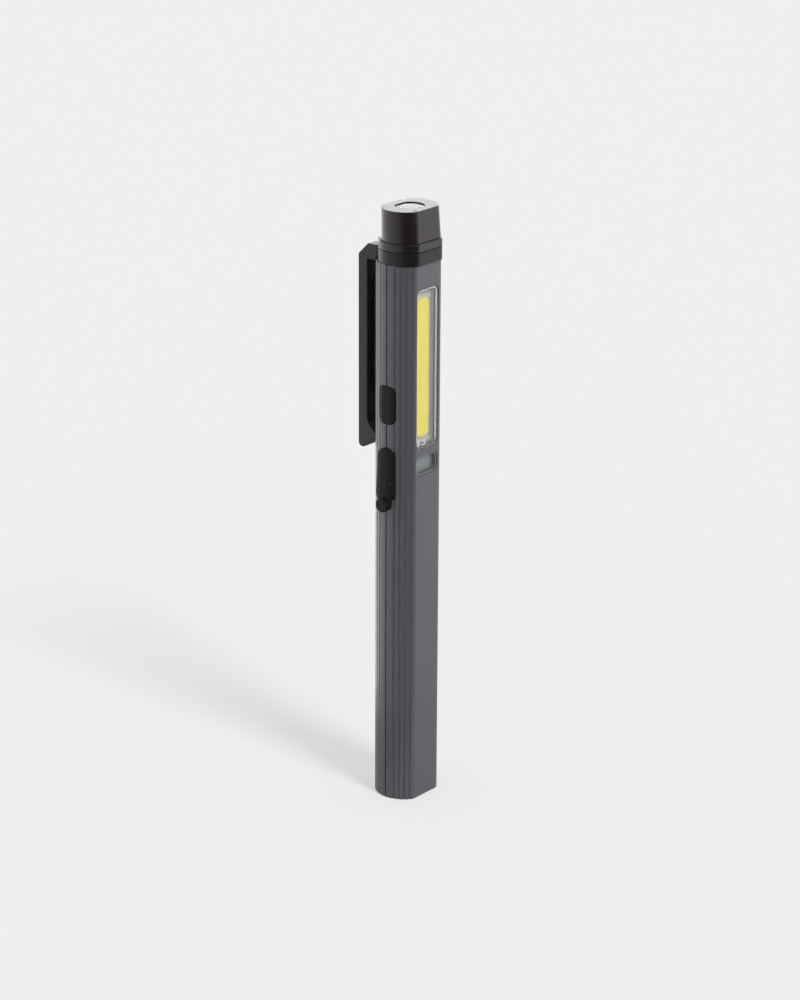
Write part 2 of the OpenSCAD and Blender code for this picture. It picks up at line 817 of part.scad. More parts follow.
module port_shell() {
    color(metal) difference() {
        prism_port(usb_w, usb_t, port_mouth, port_mouth + usb_l);
        prism_port(usb_w - 2 * usb_sheet, usb_t - 2 * usb_sheet,
            port_mouth - cut, port_mouth + usb_l - usb_sheet);
    }
}
port_corner_r = 1.2;
module prism_port(h, t, x0, x1) {
    prism_x(t, h, min(port_corner_r, t / 2 - fit), x0, x1, port_z);
}

tongue_w = 6.7;
tongue_t = 0.7;
tongue_setback = 1.5;
module port_tongue() {
    color(black) block([port_mouth + tongue_setback, -tongue_t / 2, port_z - tongue_w / 2],
        [port_mouth + usb_l - usb_sheet, tongue_t / 2, port_z + tongue_w / 2]);
}

// The cover: a plate whose outer face leans outwards towards its foot, a plug and a pull tab
cover_lean = atan((cover_proud_foot - cover_proud_top) / cover_h);
plug_h = 7;
plug_t = 2;
plug_into = 0.9;
tab_gap = 0.2;
tab_face = side_x - tab_proud;
module port_cover() {
    color(rubber) union() {
        intersection() {
            prism_x(cover_w, cover_h, cover_r, side_x - 2 * cut, cover_in, port_z);
            translate([body_x * -1 - cover_proud_top, 0, cover_top]) rotate([0, cover_lean, 0])
                cylinder(r = body_r, h = 3 * cover_h, center = true);
        }
        prism_x(plug_t, plug_h, plug_t / 4, cover_in - fit, port_mouth + plug_into, port_z);
        difference() {
            rod_x(tab_r, tab_face, side_x + 2 * wall, 0, cover_foot - tab_drop);
            translate([0, 0, cover_foot - 2 * tab_r - tab_drop])
                linear_extrude(4 * tab_r) polygon(body_inset(-tab_gap));
        }
    }
}

// The strap of the cover is held by a foot behind the wall
anchor_half_w = 1.1;
anchor_foot_h = 3;
anchor_foot_t = 0.8;
anchor_x = side_x + wall + 3 * fit;
module cover_anchor() {
    color(rubber) union() {
        block([recess_x, -anchor_half_w, hinge_z - anchor_slot_h + fit],
            [anchor_x + anchor_foot_t, anchor_half_w, hinge_z - fit]);
        block([anchor_x, -anchor_half_w, hinge_z - anchor_foot_h / 2],
            [anchor_x + anchor_foot_t, anchor_half_w, hinge_z + anchor_foot_h / 2]);
    }
}

// The clip's side view: bridge, chamfered shoulder, arm, round tip and toe
arm_in = body_d / 2 + clip_gap;
arm_out = arm_in + arm_t;
tip_z = clip_top - clip_l;
toe_y = body_d / 2 + toe_gap;
toe_z = tip_z + toe_h;
toe_land = 0.6;
slope_y_share = 0.78;
slope_z_share = 0.62;
root_low_y = body_d / 2 + run;
root_y = ring_back + run;
clip_points = concat(
    [[root_y, clip_top], [arm_out - clip_chamfer, clip_top], [arm_out, clip_top - clip_chamfer]],
    arc(arm_out - tip_r, tip_z + tip_r, tip_r, 0, -135, 6),
    [[toe_y, toe_z - toe_land], [toe_y, toe_z]],
    [[toe_y + (arm_in - toe_y) * slope_y_share, toe_z + toe_rise * slope_z_share]],
    [[arm_in, toe_z + toe_rise], [arm_in, bridge_foot], [root_low_y, bridge_foot],
        [root_low_y, body_h + run], [root_y, body_h + run]]);
slot_w = lug_w + 2 * run;
slot_y = pivot_y + lug_r + run;
magnet_top = clip_top - magnet_drop;
magnet_z = magnet_top - magnet_h / 2;
magnet_in = arm_in + magnet_seat;

module clip() {
    color(black) difference() {
        rotate([90, 0, 90]) translate([0, 0, -clip_w / 2]) linear_extrude(clip_w) polygon(clip_points);
        block([-slot_w / 2, 0, bridge_foot - cut], [slot_w / 2, slot_y, clip_top + cut]);
        rod_x(pin_r + press, -pin_l / 2, pin_l / 2, pivot_y, pivot_z);
        prism_y(magnet_w, magnet_h, magnet_w / 4, arm_in - cut, magnet_in + magnet_t + fit, magnet_z);
    }
}

module clip_pin() {
    color(metal) rod_x(pin_r, -pin_l / 2 + press, pin_l / 2 - press, pivot_y, pivot_z);
}

module clip_magnet() {
    color(metal) prism_y(magnet_w - 2 * fit, magnet_h - 2 * fit, magnet_w / 4 - fit,
        magnet_in, magnet_in + magnet_t, magnet_z);
}

module magnet_cover() {
    color(black) prism_y(magnet_w - 2 * fit, magnet_h - 2 * fit, magnet_w / 4 - fit,
        arm_in - magnet_proud, magnet_in, magnet_z);
}

module battery_cell() {
    color([0.25, 0.5, 0.3]) translate([0, 0, cell_foot]) cylinder(r = cell_r, h = cell_l);
}

module cell_tabs() {
    color(metal) {
        block([-tab_half_w, -tab_half_w, cell_top], [tab_half_w, tab_half_w, cell_top + tab_t]);
        block([-tab_half_w, -tab_half_w, cell_foot - tab_t], [lead_x + lead_r, tab_half_w, cell_foot]);
    }
}

module battery_leads() {
    color("firebrick") {
        translate([tab_half_w / 2, lead_y, cell_top + tab_t])
            cylinder(r = lead_r, h = joint_foot - cell_top - tab_t);
        translate([lead_x, lead_y, cell_foot]) cylinder(r = lead_r, h = joint_foot - cell_foot);
    }
}

module lead_joints() {
    color(metal) for (x = [tab_half_w / 2, lead_x - joint_w / 2 + lead_r])
        block([x - joint_w / 2, board_front - joint_t, joint_foot],
            [x + joint_w / 2, board_front, joint_foot + joint_h]);
}

module cell_pad() {
    color([0.2, 0.2, 0.2]) translate([0, 0, cell_stop]) cylinder(r = cell_r, h = pad_t - tab_t);
}

front_shell();
rear_shell();
clip_collar();
head_ring();
head_cap();
clip();
clip_pin();
clip_magnet();
magnet_cover();
torch_lens();
lens_gasket();
torch_spacer();
torch_board();
torch_led();
torch_leads();
light_window();
window_frame();
strip_board();
phosphor_strip();
strip_pads();
indicator_window();
indicator_lights();
main_board();
board_chips();
board_screws();
board_pins();
switch_body();
switch_plunger();
power_button();
port_shell();
port_tongue();
port_cover();
cover_anchor();
battery_cell();
cell_tabs();
battery_leads();
lead_joints();
cell_pad();
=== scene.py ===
import math

import bmesh
import bpy
from mathutils import Matrix, Vector


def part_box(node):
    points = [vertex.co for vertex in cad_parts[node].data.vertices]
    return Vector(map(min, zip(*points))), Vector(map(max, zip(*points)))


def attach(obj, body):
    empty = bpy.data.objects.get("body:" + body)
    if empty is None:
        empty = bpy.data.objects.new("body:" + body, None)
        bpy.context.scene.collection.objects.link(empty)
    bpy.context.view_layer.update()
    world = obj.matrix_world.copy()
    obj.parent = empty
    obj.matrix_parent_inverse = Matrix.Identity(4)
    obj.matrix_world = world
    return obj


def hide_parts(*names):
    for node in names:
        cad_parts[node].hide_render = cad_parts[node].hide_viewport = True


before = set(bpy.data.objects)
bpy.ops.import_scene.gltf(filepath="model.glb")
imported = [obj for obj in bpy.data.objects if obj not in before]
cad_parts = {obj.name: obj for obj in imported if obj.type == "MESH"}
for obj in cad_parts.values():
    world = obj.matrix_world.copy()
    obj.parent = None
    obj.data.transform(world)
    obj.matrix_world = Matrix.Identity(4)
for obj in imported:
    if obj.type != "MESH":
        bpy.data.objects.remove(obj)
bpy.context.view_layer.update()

# Camera, lamps and table. The light stands on pale paper, seen with a long lens from its front
# left. A soft sun in front of it throws the shadow, an even room fills the rest, and upright
# panels round it give its gloss something to show.
scene = bpy.context.scene
scene.view_settings.view_transform = "Standard"

lens_length, film_width, camera_roll = 109.98, 36, 0.243
camera_place = (-0.59409, -0.48869, 0.35779)
view_right = Vector((0.6372, -0.7707, 0))
view_up = Vector((0.2583, 0.2136, 0.9421))
view_back = Vector((-0.7261, -0.6003, 0.3352))

sight = bpy.data.cameras.new("sight")
sight.lens, sight.sensor_width, sight.clip_start = lens_length, film_width, 0.01
camera = bpy.data.objects.new("camera", sight)
scene.collection.objects.link(camera)
facing = Matrix((view_right, view_up, view_back)).transposed()
turned = facing @ Matrix.Rotation(math.radians(camera_roll), 3, "Z")
camera.matrix_world = Matrix.Translation(camera_place) @ turned.to_4x4()
scene.camera = camera


def seen_by_eye(tree):
    """An output that is 1 for what is seen directly, in a reflection or through clear plastic."""
    ray = tree.nodes.new("ShaderNodeLightPath")
    direct = tree.nodes.new("ShaderNodeMath")
    direct.operation = "MAXIMUM"
    direct_or_through = tree.nodes.new("ShaderNodeMath")
    direct_or_through.operation = "MAXIMUM"
    tree.links.new(ray.outputs["Is Camera Ray"], direct.inputs[0])
    tree.links.new(ray.outputs["Is Glossy Ray"], direct.inputs[1])
    tree.links.new(direct.outputs[0], direct_or_through.inputs[0])
    tree.links.new(ray.outputs["Is Transmission Ray"], direct_or_through.inputs[1])
    return direct_or_through.outputs[0]


room = bpy.data.worlds.new("room")
room.use_nodes = True
tree = room.node_tree
fill = tree.nodes["Background"]
fill.inputs["Color"].default_value = (1, 1, 1, 1)
fill.inputs["Strength"].default_value = 0.5
backdrop = tree.nodes.new("ShaderNodeBackground")
backdrop.inputs["Color"].default_value = (0.863, 0.863, 0.863, 1)
fill_or_backdrop = tree.nodes.new("ShaderNodeMixShader")
tree.links.new(seen_by_eye(tree), fill_or_backdrop.inputs["Fac"])
tree.links.new(fill.outputs["Background"], fill_or_backdrop.inputs[1])
tree.links.new(backdrop.outputs["Background"], fill_or_backdrop.inputs[2])
tree.links.new(fill_or_backdrop.outputs["Shader"], tree.nodes["World Output"].inputs["Surface"])
scene.world = room

key_level, key_rise = 0.743, 0.669
key_from = Vector((-0.188 * key_level, -0.982 * key_level, key_rise))
key = bpy.data.lights.new("soft_key", "SUN")
key.energy, key.angle = 1.75, math.radians(16)
key_lamp = bpy.data.objects.new("soft_key", key)
key_lamp.rotation_mode = "QUATERNION"
key_lamp.rotation_quaternion = (-key_from).to_track_quat("-Z", "Y")
scene.collection.objects.link(key_lamp)


def upright(degrees, radius, top):
    """The foot and top of an upright line round the light, at degrees from its left to its front."""
    a = math.radians(degrees)
    x, y = -radius * math.cos(a), -radius * math.sin(a)
    return [(x, y, 0.0), (x, y, top)]


def reflector(name, points, shine):
    """A panel through upright lines, given foot then top, that shows only in reflections.

    Its shine is a level for the foot and one for the top of each line."""
    panel = bpy.data.meshes.new(name)
    lines = len(points) // 2
    panel.from_pydata(points, [], [(2 * i, 2 * i + 2, 2 * i + 3, 2 * i + 1) for i in range(lines - 1)])
    levels = panel.attributes.new("shine", "FLOAT", "POINT")
    levels.data.foreach_set("value", [level for pair in shine for level in pair])
    stand = bpy.data.objects.new(name, panel)
    scene.collection.objects.link(stand)
    paint = bpy.data.materials.new(name)
    paint.use_nodes = True
    paint.cycles.emission_sampling = "NONE"
    tree = paint.node_tree
    tree.nodes.remove(tree.nodes["Principled BSDF"])
    clear = tree.nodes.new("ShaderNodeBsdfTransparent")
    bright = tree.nodes.new("ShaderNodeEmission")
    level = tree.nodes.new("ShaderNodeAttribute")
    level.attribute_name = "shine"
    ray = tree.nodes.new("ShaderNodeLightPath")
    choice = tree.nodes.new("ShaderNodeMixShader")
    tree.links.new(level.outputs["Fac"], bright.inputs["Strength"])
    tree.links.new(ray.outputs["Is Glossy Ray"], choice.inputs["Fac"])
    tree.links.new(clear.outputs["BSDF"], choice.inputs[1])
    tree.links.new(bright.outputs["Emission"], choice.inputs[2])
    tree.links.new(choice.outputs["Shader"], tree.nodes["Material Output"].inputs["Surface"])
    panel.materials.append(paint)


ring_distance, ring_top = 0.07, 0.2
ring = ((-135, 3.0, 2.2), (-118, 3.0, 2.2), (-100, 2.8, 1.9), (-80, 2.6, 1.7), (-65, 2.2, 1.4),
        (-50, 1.6, 1.4), (-35, 1.35, 1.35), (-20, 1.15, 1.15), (0, 0.85, 0.85), (15, 0.42, 0.42),
        (28, 0.08, 0.08), (60, 0.03, 0.03), (78, 0.15, 0.15), (95, 0.45, 0.45), (115, 0.95, 1.3),
        (140, 1.1, 1.75), (170, 1.1, 1.75))
reflector("side_reflector", [p for degrees, _, _ in ring for p in upright(degrees, ring_distance, ring_top)],
          [(foot, top) for _, foot, top in ring])
for flag, distance, top, level, spread in (("toe_flag", 0.05, 0.085, 0.16, (-168, -150, -132)),
                                           ("foot_flag", 0.03, 0.016, 0.35, (-30, -10, 10, 30, 50, 70))):
    reflector(flag, [p for degrees in spread for p in upright(degrees, distance, top)],
              [(level, level)] * len(spread))
reflector("back_reflector", [(0.15, 1.25, 0.1), (0.15, 1.25, 1.2), (1.4, 0.0, 0.1), (1.4, 0.0, 1.2)],
          [(2.6, 2.6)] * 2)

table_reach, glow_share = 6, 0.5
table = bpy.data.meshes.new("table_top")
table.from_pydata([(x * table_reach, y * table_reach, 0) for x, y in ((-1, -1), (1, -1), (1, 1), (-1, 1))],
                  [], [(0, 1, 2, 3)])
table_top = bpy.data.objects.new("table_top", table)
scene.collection.objects.link(table_top)
paper = bpy.data.materials.new("table_paper")
paper.use_nodes = True
tree = paper.node_tree
paper_shader = tree.nodes["Principled BSDF"]
paper_shader.inputs["Base Color"].default_value = (0.85, 0.85, 0.852, 1)
paper_shader.inputs["Roughness"].default_value = 0.95
paper_shader.inputs["Specular IOR Level"].default_value = 0.0
glow = tree.nodes.new("ShaderNodeEmission")
glow.inputs["Color"].default_value = (0.985, 0.985, 0.985, 1)
glow_amount = tree.nodes.new("ShaderNodeMath")
glow_amount.operation = "MULTIPLY"
glow_amount.inputs[1].default_value = glow_share
evened = tree.nodes.new("ShaderNodeMixShader")
tree.links.new(seen_by_eye(tree), glow_amount.inputs[0])
tree.links.new(glow_amount.outputs[0], evened.inputs["Fac"])
tree.links.new(paper_shader.outputs["BSDF"], evened.inputs[1])
tree.links.new(glow.outputs["Emission"], evened.inputs[2])
tree.links.new(evened.outputs["Shader"], tree.nodes["Material Output"].inputs["Surface"])
table.materials.append(paper)

# The grey body: two half shells of hard plastic, moulded with a fine satin skin, that meet in a
# seam along both round sides. Each quarter has four soft flutes, and the front has two windows.
mm = 0.001


def span(node, axis):
    """Where a solid of the frame starts and ends along an axis, in mm."""
    return [round(corner[axis] / mm, 2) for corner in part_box(node)]


def middle(node, axis):
    """The middle and the length of a solid of the frame along an axis, in mm."""
    low, high = [corner[axis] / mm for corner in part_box(node)]
    return round((low + high) / 2, 3), round(high - low, 2)


body_w, body_d, flat_w, corner_r, wall = 17.6, 13.6, 10.0, 2.1, 1.3
body_h = span("clip_collar", 2)[0]
body_r = (((body_w - flat_w) / 2) ** 2 + (body_d / 2) ** 2) / (body_w - flat_w)
body_x = body_w / 2 - body_r
base_t, top_t = 2.0, 1.4
flutes = [2.44 + 1.52 * i for i in range(4)]
flute_half, front_flute_depth, rear_flute_depth = 0.36, 0.264, 0.132
window_x, window_w, window_z, window_h, window_r = -0.16, 8.72, 122.3, 43.8, 1.7
small_z, small_h = 95.83, 5.54
button_z, flange_h = middle("power_button", 2)
button_w, button_h, button_r = 5.7, 10.5, 1.9
cover_w, cover_h, cover_r, cover_sink = middle("port_cover", 1)[1], 15.0, 2.5, 0.95
port_z = span("port_cover", 2)[1] - cover_h / 2
socket_w, socket_h, socket_r = 3.36, 9.04, 1.2
opening_room, opening_depth = 0.02, 3


def flute_dip(s, depth):
    """How deep the side is cut at distance s from the seam."""
    return sum(depth * 0.5 * (1 + math.cos(math.pi * (s - p) / flute_half))
               for p in flutes if abs(s - p) < flute_half)


def quarter(x, r, half_d, c, flute_depth=0.0, steps=30, start=0.0):
    """A quarter of the section in mm, from the seam round the corner to the end of the flat."""
    corner_steps = 8
    yc = half_d - c
    xc = x + math.sqrt((r - c) ** 2 - yc ** 2)
    end = math.atan2(yc, xc - x)
    side = []
    for i in range(steps + 1):
        a = start + (end - start) * i / steps
        cut_r = r - flute_dip(a * body_r, flute_depth)
        side.append((x + cut_r * math.cos(a), cut_r * math.sin(a)))
    turn = [end + (math.pi / 2 - end) * i / corner_steps for i in range(1, corner_steps + 1)]
    return side + [(xc + c * math.cos(a), yc + c * math.sin(a)) for a in turn]


def rounded(w, h, r, steps=8):
    """A rounded rectangle in mm, counted from its right side's foot."""
    points = []
    for sx, sy, a0 in ((1, -1, -90), (1, 1, 0), (-1, 1, 90), (-1, -1, 180)):
        for i in range(steps + 1):
            a = math.radians(a0 + 90 * i / steps)
            points.append((sx * (w / 2 - r) + r * math.cos(a), sy * (h / 2 - r) + r * math.sin(a)))
    return points


def loft(name, rings, around=False):
    """A closed mesh through rings of points in mm. Around joins the last ring to the first."""
    n = len(rings[0])
    count = len(rings)
    points = [Vector(p) * mm for ring in rings for p in ring]
    faces = []
    for i in range(count if around else count - 1):
        a, b = i * n, (i + 1) % count * n
        faces += [(a + k, a + (k + 1) % n, b + (k + 1) % n, b + k) for k in range(n)]
    if not around:
        faces += [tuple(range(n)), tuple((count - 1) * n + k for k in range(n))]
    mesh = bpy.data.meshes.new(name)
    mesh.from_pydata(points, [], faces)
    bm = bmesh.new()
    bm.from_mesh(mesh)
    bmesh.ops.recalc_face_normals(bm, faces=bm.faces)
    bm.to_mesh(mesh)
    bm.free()
    piece = bpy.data.objects.new(name, mesh)
    scene.collection.objects.link(piece)
    return piece


def cut_from(piece, cutters):
    """Takes the cutters out of the piece and removes them."""
    for cutter in cutters:
        taken = piece.modifiers.new("cut", "BOOLEAN")
        taken.operation, taken.solver, taken.object = "DIFFERENCE", "EXACT", cutter
    bpy.context.view_layer.update()
    made = bpy.data.meshes.new_from_object(piece.evaluated_get(bpy.context.evaluated_depsgraph_get()))
    piece.modifiers.clear()
    piece.data = made
    made.name = piece.name
    for cutter in cutters:
        bpy.data.objects.remove(cutter)
    return piece


def smoothed(piece, sharp=38):
    """Smooth faces that meet in crisp edges where they turn by more than sharp degrees."""
    bm = bmesh.new()
    bm.from_mesh(piece.data)
    for face in bm.faces:
        face.smooth = True
    for edge in bm.edges:
        edge.smooth = len(edge.link_faces) == 2 and edge.calc_face_angle(0) < math.radians(sharp)
    bm.to_mesh(piece.data)
    bm.free()
    weighted = piece.modifiers.new("even_faces", "WEIGHTED_NORMAL")
    weighted.keep_sharp = True
    return piece


def placed(piece, material, body, slot, *nodes):
    """Gives a piece its material, its body and the nodes that it stands for."""
    piece.data.materials.clear()
    piece.data.materials.append(material)
    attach(piece, body)
    if nodes:
        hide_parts(*nodes)
    return piece


def node_of(tree, kind, at, **values):
    """A node at a place in the tree, with its settings or inputs by name."""
    made = tree.nodes.new(kind)
    made.location = at
    for key, value in values.items():
        if hasattr(made, key):
            setattr(made, key, value)
        else:
            made.inputs[key.replace("_", " ")].default_value = value
    return made


# The skin that the moulds leave on plastic and rubber: a fine grain, a slow change of tone and
# gloss, and a few pale specks of dust.
skin = bpy.data.node_groups.new("moulded_skin", "ShaderNodeTree")
for name, kind in (("Tone", "NodeSocketColor"), ("Second tone", "NodeSocketColor"),
                   ("Grain", "NodeSocketFloat"), ("Patch", "NodeSocketFloat"),
                   ("Least roughness", "NodeSocketFloat"), ("Most roughness", "NodeSocketFloat"),
                   ("Dust", "NodeSocketFloat")):
    skin.interface.new_socket(name, in_out="INPUT", socket_type=kind)
for name, kind in (("Color", "NodeSocketColor"), ("Roughness", "NodeSocketFloat"),
                   ("Height", "NodeSocketFloat")):
    skin.interface.new_socket(name, in_out="OUTPUT", socket_type=kind)
given = node_of(skin, "NodeGroupInput", (-900, 0))
result = node_of(skin, "NodeGroupOutput", (500, 0))
where = node_of(skin, "ShaderNodeTexCoord", (-900, -300))
grain = node_of(skin, "ShaderNodeTexNoise", (-600, -400), Detail=3.0)
patch = node_of(skin, "ShaderNodeTexNoise", (-600, -100), Detail=4.0, Roughness=0.6)
dust = node_of(skin, "ShaderNodeTexVoronoi", (-600, 250), Scale=420.0)
speck = node_of(skin, "ShaderNodeMapRange", (-380, 250), From_Min=0.05, From_Max=0.03)
shade = node_of(skin, "ShaderNodeMix", (-100, 100), data_type="RGBA")
dusted = node_of(skin, "ShaderNodeMix", (200, 100), data_type="RGBA")
dusted.inputs["B"].default_value = (0.5, 0.49, 0.47, 1)
seen = node_of(skin, "ShaderNodeMath", (-100, 300), operation="MULTIPLY")
gloss = node_of(skin, "ShaderNodeMapRange", (-100, -150))
for source, target in (
        (where.outputs["Object"], grain.inputs["Vector"]), (where.outputs["Object"], patch.inputs["Vector"]),
        (where.outputs["Object"], dust.inputs["Vector"]), (given.outputs["Grain"], grain.inputs["Scale"]),
        (given.outputs["Patch"], patch.inputs["Scale"]), (dust.outputs["Distance"], speck.inputs["Value"]),
        (given.outputs["Tone"], shade.inputs["A"]), (given.outputs["Second tone"], shade.inputs["B"]),
        (patch.outputs["Fac"], shade.inputs["Factor"]), (shade.outputs["Result"], dusted.inputs["A"]),
        (speck.outputs["Result"], seen.inputs[0]), (given.outputs["Dust"], seen.inputs[1]),
        (seen.outputs["Value"], dusted.inputs["Factor"]), (patch.outputs["Fac"], gloss.inputs["Value"]),
        (given.outputs["Least roughness"], gloss.inputs["To Min"]),
        (given.outputs["Most roughness"], gloss.inputs["To Max"]),
        (dusted.outputs["Result"], result.inputs["Color"]),
        (gloss.outputs["Result"], result.inputs["Roughness"]),
        (grain.outputs["Fac"], result.inputs["Height"])):
    skin.links.new(source, target)


def finish(name, tone, second, grain, patch, rough, dust, bump, depth, **plain):
    """A plastic, rubber, metal or board with the skin. Grain, patch and depth are in mm."""
    material = bpy.data.materials.new(name)
    material.use_nodes = True
    tree = material.node_tree
    shader = tree.nodes["Principled BSDF"]
    face = node_of(tree, "ShaderNodeGroup", (-520, 0), node_tree=skin)
    face.inputs["Tone"].default_value = (*tone, 1)
    face.inputs["Second tone"].default_value = (*second, 1)
    face.inputs["Grain"].default_value = 1 / (grain * mm)
    face.inputs["Patch"].default_value = 1 / (patch * mm)
    face.inputs["Least roughness"].default_value, face.inputs["Most roughness"].default_value = rough
    face.inputs["Dust"].default_value = dust
    relief = node_of(tree, "ShaderNodeBump", (-240, -200), Strength=bump, Distance=depth * mm)
    tree.links.new(face.outputs["Color"], shader.inputs["Base Color"])
    tree.links.new(face.outputs["Roughness"], shader.inputs["Roughness"])
    tree.links.new(face.outputs["Height"], relief.inputs["Height"])
    tree.links.new(relief.outputs["Normal"], shader.inputs["Normal"])
    for key, value in plain.items():
        shader.inputs[key.replace("_", " ")].default_value = value
    return material


grey_plastic = finish("grey_plastic", (0.066, 0.071, 0.079), (0.073, 0.078, 0.086), grain=0.12, patch=9,
                      rough=(0.34, 0.42), dust=0.5, bump=0.35, depth=0.01)


def shell_rings(side):
    """The half section of one shell at each height: side is -1 for the front and 1 for the back.

    The rear shell's lip crosses the seam, and the front shell draws back inside to take it."""
    gap, edge = 0.16, 0.04
    lip_end = -0.8 if side > 0 else 0.82
    low_x = body_x + body_r - wall / 2
    rings = []
    for z, t, inside in ((0, 0.22, False), (0.07, 0.08, False), (0.25, 0, False), (base_t, 0, False),
                         (base_t, 0, True), (body_h - top_t, 0, True), (body_h - top_t, 0, False),
                         (body_h - 0.2, 0, False), (body_h, 0.2, False)):
        start = math.asin((gap + edge) / (body_r - t))
        q = quarter(body_x, body_r - t, body_d / 2 - t, corner_r - t,
                    rear_flute_depth if side > 0 else front_flute_depth, 84, start)
        x = q[0][0]
        tip = [(x - edge, gap), (x - edge * 0.3, gap + edge * 0.3)]
        half = tip + q + [(-a, b) for a, b in reversed(q)] + [(-a, b) for a, b in reversed(tip)]
        reach = lip_end if inside else 0.0
        half += [(-low_x, gap), (-low_x, reach), (low_x, reach), (low_x, gap)]
        rings.append([(a, b * side, z) for a, b in half])
    return rings


def cavity():
    """The room inside both shells."""
    inner = quarter(body_x, body_r - wall, body_d / 2 - wall, corner_r - wall)
    half = inner + [(-a, b) for a, b in reversed(inner)][:-1]
    loop = half + [(-a, -b) for a, b in half]
    return loft("cavity", [[(a, b, z) for a, b in loop] for z in (base_t, body_h - top_t)])


def window_cut(w, h, r, z):
    """A cut through the front wall with a rounded mouth."""
    front, mouth_r = -body_d / 2, 0.11
    steps = [(front - 1, mouth_r)]
    for i in range(7):
        a = math.radians(15 * i)
        steps.append((front + mouth_r * (1 - math.cos(a)), mouth_r * (1 - math.sin(a))))
    return loft("window_cut", [[(window_x + a, y, z + b) for a, b in rounded(w + 2 * g, h + 2 * g, r + g)]
                               for y, g in steps + [(front + 2, 0)]])


def side_cut(w, h, r, z, deep, room=0.0):
    """A cut into the left side, as deep as given from its outermost line, with room all round."""
    return loft("side_cut", [[(x, a, z + b) for a, b in rounded(w + 2 * room, h + 2 * room, r + room)]
                             for x in (-body_w / 2 - 1, -body_w / 2 + deep)])


for shell_name, shell_node, side in (("front_half", "front_shell", -1), ("rear_half", "rear_shell", 1)):
    shell = loft(shell_name, shell_rings(side))
    cuts = [cavity(), side_cut(button_w, button_h, button_r, button_z, opening_depth, opening_room),
            side_cut(cover_w, cover_h, cover_r, port_z, cover_sink, opening_room),
            side_cut(socket_w, socket_h, socket_r, port_z, opening_depth)]
    if side < 0:
        cuts += [window_cut(window_w, window_h, window_r, window_z),
                 window_cut(window_w, small_h, window_r, small_z)]
    cut_from(shell, cuts)
    placed(smoothed(shell), grey_plastic, "light_body", "grey_shell", shell_node)

# The head: a collar with the lug that carries the clip, a thinner ring and a cap that draws in
# upwards, all in black plastic. A sunk line parts them, and the cap has the round torch opening.
# The clip's black plastic is lighter than the cap's and collar's: painted light that lifts the shade in the
# gap behind the clip.
black_plastic = finish("black_plastic", (0.016, 0.0146, 0.0132), (0.02, 0.0182, 0.0165), grain=0.1, patch=7,
                       rough=(0.24, 0.32), dust=0.35, bump=0.3, depth=0.008, Specular_IOR_Level=0.28,
                       Specular_Tint=(1, 0.97, 0.93, 1))
collar_plastic = finish("collar_plastic", (0.009, 0.0088, 0.009), (0.0118, 0.0115, 0.0118), grain=0.1,
                        patch=7, rough=(0.24, 0.32), dust=0.35, bump=0.3, depth=0.008,
                        Specular_IOR_Level=0.26)
cap_plastic = finish("cap_plastic", (0.0115, 0.0086, 0.0088), (0.0147, 0.0113, 0.0115), grain=0.1, patch=7,
                     rough=(0.18, 0.25), dust=0.35, bump=0.3, depth=0.008, Specular_IOR_Level=0.44,
                     Specular_Tint=(1, 0.93, 0.95, 1))
ring_z, cap_z = span("head_ring", 2)
head_z = span("head_cap", 2)[1]
ring_w = middle("head_ring", 0)[1]
ring_y, ring_d = middle("head_ring", 1)
pivot_y, pivot_z, lug_r, lug_half_w, lug_root_y = 8.02, 152.0, 1.3, 1.5, 5.9
cap_w, cap_d, cap_y = middle("head_cap", 0)[1], 12.25, -0.78
cap_w_draft, cap_d_draft, torch_y = 0.5, 0.4, middle("torch_lens", 1)[0]


def joined(piece, others):
    """Adds the meshes of the others to the piece."""
    bm = bmesh.new()
    bm.from_mesh(piece.data)
    for other in others:
        bm.from_mesh(other.data)
    bm.to_mesh(piece.data)
    bm.free()
    for other in others:
        bpy.data.objects.remove(other)
    return piece


def head_section(w, d, inset, at_y):
    """The head's section round at_y, with a width w and depth d before the inset, in mm."""
    w, d = w - 2 * inset, d - 2 * inset
    f = flat_w - (body_w - w)
    r = (((w - f) / 2) ** 2 + (d / 2) ** 2) / (w - f)
    q = quarter(w / 2 - r, r, d / 2, corner_r - inset, steps=24)
    half = q + [(-x, y) for x, y in reversed(q)][:-1]
    return [(x, at_y + y) for x, y in half + [(-x, -y) for x, y in half]]


def head_band(name, z0, z1):
    """A ring of the head, with rounded edges and a sunk line at its top."""
    edge, shoulder_h, line_h, line_in, bore_w_share, bore_d_share = 0.1, 0.27, 0.15, 0.35, 0.72, 0.66
    outer = [[(x, y, z) for x, y in head_section(ring_w, ring_d, t, ring_y)]
             for z, t in ((z0, edge), (z0 + edge, 0), (z1 - shoulder_h, 0), (z1 - line_h, 0.08),
                          (z1 - line_h, line_in), (z1, line_in))]
    inner = [[(x * bore_w_share, y * bore_d_share, z) for x, y, _ in outer[0]] for z in (z1, z0)]
    return loft(name, outer + inner, around=True)


lug_side = [(lug_root_y, pivot_z + lug_r)]
for i in range(25):
    a = math.radians(90 - 180 * i / 24)
    lug_side.append((pivot_y + lug_r * math.cos(a), pivot_z + lug_r * math.sin(a)))
lug_side.append((lug_root_y, pivot_z - lug_r))
lug = loft("lug", [[(x, y, z) for y, z in lug_side] for x in (-lug_half_w, lug_half_w)])
collar = joined(head_band("clip_band", body_h, ring_z), [lug])
placed(smoothed(collar), collar_plastic, "light_body", "black_plastic", "clip_collar")
thin_ring = head_band("thin_band", ring_z, cap_z)
placed(smoothed(thin_ring), cap_plastic, "light_body", "black_plastic", "head_ring")

